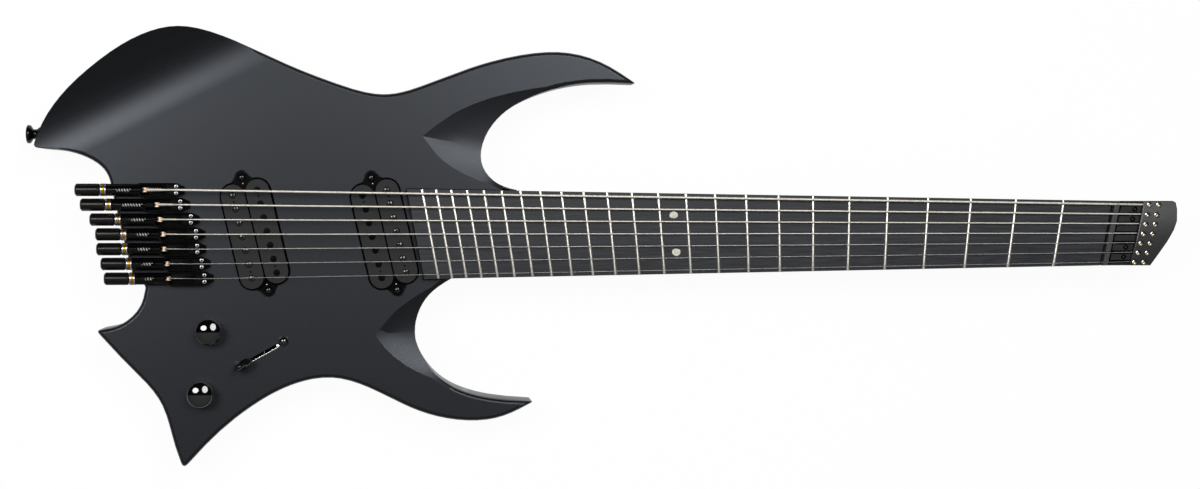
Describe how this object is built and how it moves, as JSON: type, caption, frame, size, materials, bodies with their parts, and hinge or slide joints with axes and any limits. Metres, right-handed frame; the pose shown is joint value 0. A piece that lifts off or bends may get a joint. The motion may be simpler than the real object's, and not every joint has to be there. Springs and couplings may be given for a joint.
{
  "type": "seven-string electric guitar",
  "caption": "Headless electric guitar with fanned frets, separate tuning units at the bridge, humbucking pickups, rotary controls, a blade switch and strap buttons.",
  "frame": {"origin": "on the flat back, on the centre line, under the middle string's scale end", "axes": "+X along the neck to the head, +Y to the bass side, +Z out of the face"},
  "size_m": [0.8309, 0.3114, 0.0603],
  "materials": {
    "satin_body": "satin charcoal paint",
    "satin_neck": "satin charcoal paint",
    "ebony": "bare dark wood",
    "black_metal": "black plating, satin",
    "grey_metal": "dark grey plating, satin",
    "steel": "bright plating",
    "string_steel": "plain and wound wire",
    "black_plastic": "matte",
    "gloss_plastic": "polished"
  },
  "bodies": {
    "guitar": {"body": "satin_body", "neck": "satin_neck", "fretboard": "ebony", "nut": "grey_metal", "head_block": "black_metal", "string_clamp": "grey_metal", "truss_rod": "steel", "control_cover": "black_plastic", "bridge_pickup_base": "black_plastic", "bridge_pickup_slug_coil": "black_plastic", "bridge_pickup_screw_coil": "black_plastic", "neck_pickup_base": "black_plastic", "neck_pickup_slug_coil": "black_plastic", "neck_pickup_screw_coil": "black_plastic", "volume_pot": "steel", "tone_pot": "steel", "switch_frame": "steel", "output_jack": "black_metal", "rear_strap_button": "black_metal", "horn_strap_button": "black_metal", "bridge_base_1": "black_metal", "bridge_base_2": "black_metal", "bridge_base_3": "black_metal", "bridge_base_4": "black_metal", "bridge_base_5": "black_metal", "bridge_base_6": "black_metal", "bridge_base_7": "black_metal", "string_1": "string_steel", "string_2": "string_steel", "string_3": "string_steel", "string_4": "string_steel", "string_5": "string_steel", "string_6": "string_steel", "string_7": "string_steel"},
    "tuner_1": {"tuner_knob_1": "black_metal"},
    "carriage_1": {"string_carriage_1": "steel"},
    "saddle_slide_1": {"saddle_1": "black_metal"},
    "tuner_2": {"tuner_knob_2": "black_metal"},
    "carriage_2": {"string_carriage_2": "steel"},
    "saddle_slide_2": {"saddle_2": "black_metal"},
    "tuner_3": {"tuner_knob_3": "black_metal"},
    "carriage_3": {"string_carriage_3": "steel"},
    "saddle_slide_3": {"saddle_3": "black_metal"},
    "tuner_4": {"tuner_knob_4": "black_metal"},
    "carriage_4": {"string_carriage_4": "steel"},
    "saddle_slide_4": {"saddle_4": "black_metal"},
    "tuner_5": {"tuner_knob_5": "black_metal"},
    "carriage_5": {"string_carriage_5": "steel"},
    "saddle_slide_5": {"saddle_5": "black_metal"},
    "tuner_6": {"tuner_knob_6": "black_metal"},
    "carriage_6": {"string_carriage_6": "steel"},
    "saddle_slide_6": {"saddle_6": "black_metal"},
    "tuner_7": {"tuner_knob_7": "black_metal"},
    "carriage_7": {"string_carriage_7": "steel"},
    "saddle_slide_7": {"saddle_7": "black_metal"},
    "volume": {"volume_knob": "gloss_plastic", "volume_shaft": "steel"},
    "tone": {"tone_knob": "gloss_plastic", "tone_shaft": "steel"},
    "switch": {"switch_lever": "black_plastic"}
  },
  "joints": [
    {"name": "tuner_turn_1", "type": "hinge", "parent": "guitar", "child": "tuner_1", "pos_m": [-0.0447, -0.031, 0.0472], "axis": [1, 0, 0], "range_deg": [-4884.7, 770.4]},
    {"name": "carriage_pull_1", "type": "slide", "parent": "guitar", "child": "carriage_1", "axis": [1, 0, 0], "range_m": [-0.0015, 0.0095], "deforming": ["string_1"]},
    {"name": "intonation_1", "type": "slide", "parent": "guitar", "child": "saddle_slide_1", "axis": [1, 0, 0], "range_m": [-0.0045, 0.002]},
    {"name": "tuner_turn_2", "type": "hinge", "parent": "guitar", "child": "tuner_2", "pos_m": [-0.0469, -0.02067, 0.0472], "axis": [1, 0, 0], "range_deg": [-4113.3, 1541.9]},
    {"name": "carriage_pull_2", "type": "slide", "parent": "guitar", "child": "carriage_2", "axis": [1, 0, 0], "range_m": [-0.003, 0.008], "deforming": ["string_2"]},
    {"name": "intonation_2", "type": "slide", "parent": "guitar", "child": "saddle_slide_2", "axis": [1, 0, 0], "range_m": [-0.0045, 0.002]},
    {"name": "tuner_turn_3", "type": "hinge", "parent": "guitar", "child": "tuner_3", "pos_m": [-0.0498, -0.01033, 0.0472], "axis": [1, 0, 0], "range_deg": [-3650.4, 2004.7]},
    {"name": "carriage_pull_3", "type": "slide", "parent": "guitar", "child": "carriage_3", "axis": [1, 0, 0], "range_m": [-0.0039, 0.0071], "deforming": ["string_3"]},
    {"name": "intonation_3", "type": "slide", "parent": "guitar", "child": "saddle_slide_3", "axis": [1, 0, 0], "range_m": [-0.0045, 0.002]},
    {"name": "tuner_turn_4", "type": "hinge", "parent": "guitar", "child": "tuner_4", "pos_m": [-0.0504, 0, 0.0472], "axis": [1, 0, 0], "range_deg": [-3650.4, 2004.7]},
    {"name": "carriage_pull_4", "type": "slide", "parent": "guitar", "child": "carriage_4", "axis": [1, 0, 0], "range_m": [-0.0039, 0.0071], "deforming": ["string_4"]},
    {"name": "intonation_4", "type": "slide", "parent": "guitar", "child": "saddle_slide_4", "axis": [1, 0, 0], "range_m": [-0.0045, 0.002]},
    {"name": "tuner_turn_5", "type": "hinge", "parent": "guitar", "child": "tuner_5", "pos_m": [-0.0543, 0.01033, 0.0472], "axis": [1, 0, 0], "range_deg": [-2724.7, 2930.4]},
    {"name": "carriage_pull_5", "type": "slide", "parent": "guitar", "child": "carriage_5", "axis": [1, 0, 0], "range_m": [-0.0057, 0.0053], "deforming": ["string_5"]},
    {"name": "intonation_5", "type": "slide", "parent": "guitar", "child": "saddle_slide_5", "axis": [1, 0, 0], "range_m": [-0.0045, 0.002]},
    {"name": "tuner_turn_6", "type": "hinge", "parent": "guitar", "child": "tuner_6", "pos_m": [-0.0608, 0.02067, 0.0472], "axis": [1, 0, 0], "range_deg": [-461.9, 5193.3]},
    {"name": "carriage_pull_6", "type": "slide", "parent": "guitar", "child": "carriage_6", "axis": [1, 0, 0], "range_m": [-0.0101, 0.0009], "deforming": ["string_6"]},
    {"name": "intonation_6", "type": "slide", "parent": "guitar", "child": "saddle_slide_6", "axis": [1, 0, 0], "range_m": [-0.0045, 0.002]},
    {"name": "tuner_turn_7", "type": "hinge", "parent": "guitar", "child": "tuner_7", "pos_m": [-0.0644, 0.031, 0.0472], "axis": [1, 0, 0], "range_deg": [-2776.1, 2879]},
    {"name": "carriage_pull_7", "type": "slide", "parent": "guitar", "child": "carriage_7", "axis": [1, 0, 0], "range_m": [-0.0056, 0.0054], "deforming": ["string_7"]},
    {"name": "intonation_7", "type": "slide", "parent": "guitar", "child": "saddle_slide_7", "axis": [1, 0, 0], "range_m": [-0.0045, 0.002]},
    {"name": "volume_turn", "type": "hinge", "parent": "guitar", "child": "volume", "pos_m": [0.01, -0.0685, 0.06], "axis": [0, 0, 1], "range_deg": [-300, 0]},
    {"name": "tone_turn", "type": "hinge", "parent": "guitar", "child": "tone", "pos_m": [0.0042, -0.1125, 0.06], "axis": [0, 0, 1], "range_deg": [-300, 0]},
    {"name": "switch_swing", "type": "hinge", "parent": "guitar", "child": "switch", "pos_m": [0.0462, -0.0849, 0.0215], "axis": [-0.4772, 0.8788, 0], "range_deg": [0, 49]}
  ],
  "couplings": [
    {"joint": "carriage_pull_1", "follows": "tuner_turn_1", "m_per_rad": -0.00011141},
    {"joint": "carriage_pull_2", "follows": "tuner_turn_2", "m_per_rad": -0.00011141},
    {"joint": "carriage_pull_3", "follows": "tuner_turn_3", "m_per_rad": -0.00011141},
    {"joint": "carriage_pull_4", "follows": "tuner_turn_4", "m_per_rad": -0.00011141},
    {"joint": "carriage_pull_5", "follows": "tuner_turn_5", "m_per_rad": -0.00011141},
    {"joint": "carriage_pull_6", "follows": "tuner_turn_6", "m_per_rad": -0.00011141},
    {"joint": "carriage_pull_7", "follows": "tuner_turn_7", "m_per_rad": -0.00011141}
  ]
}
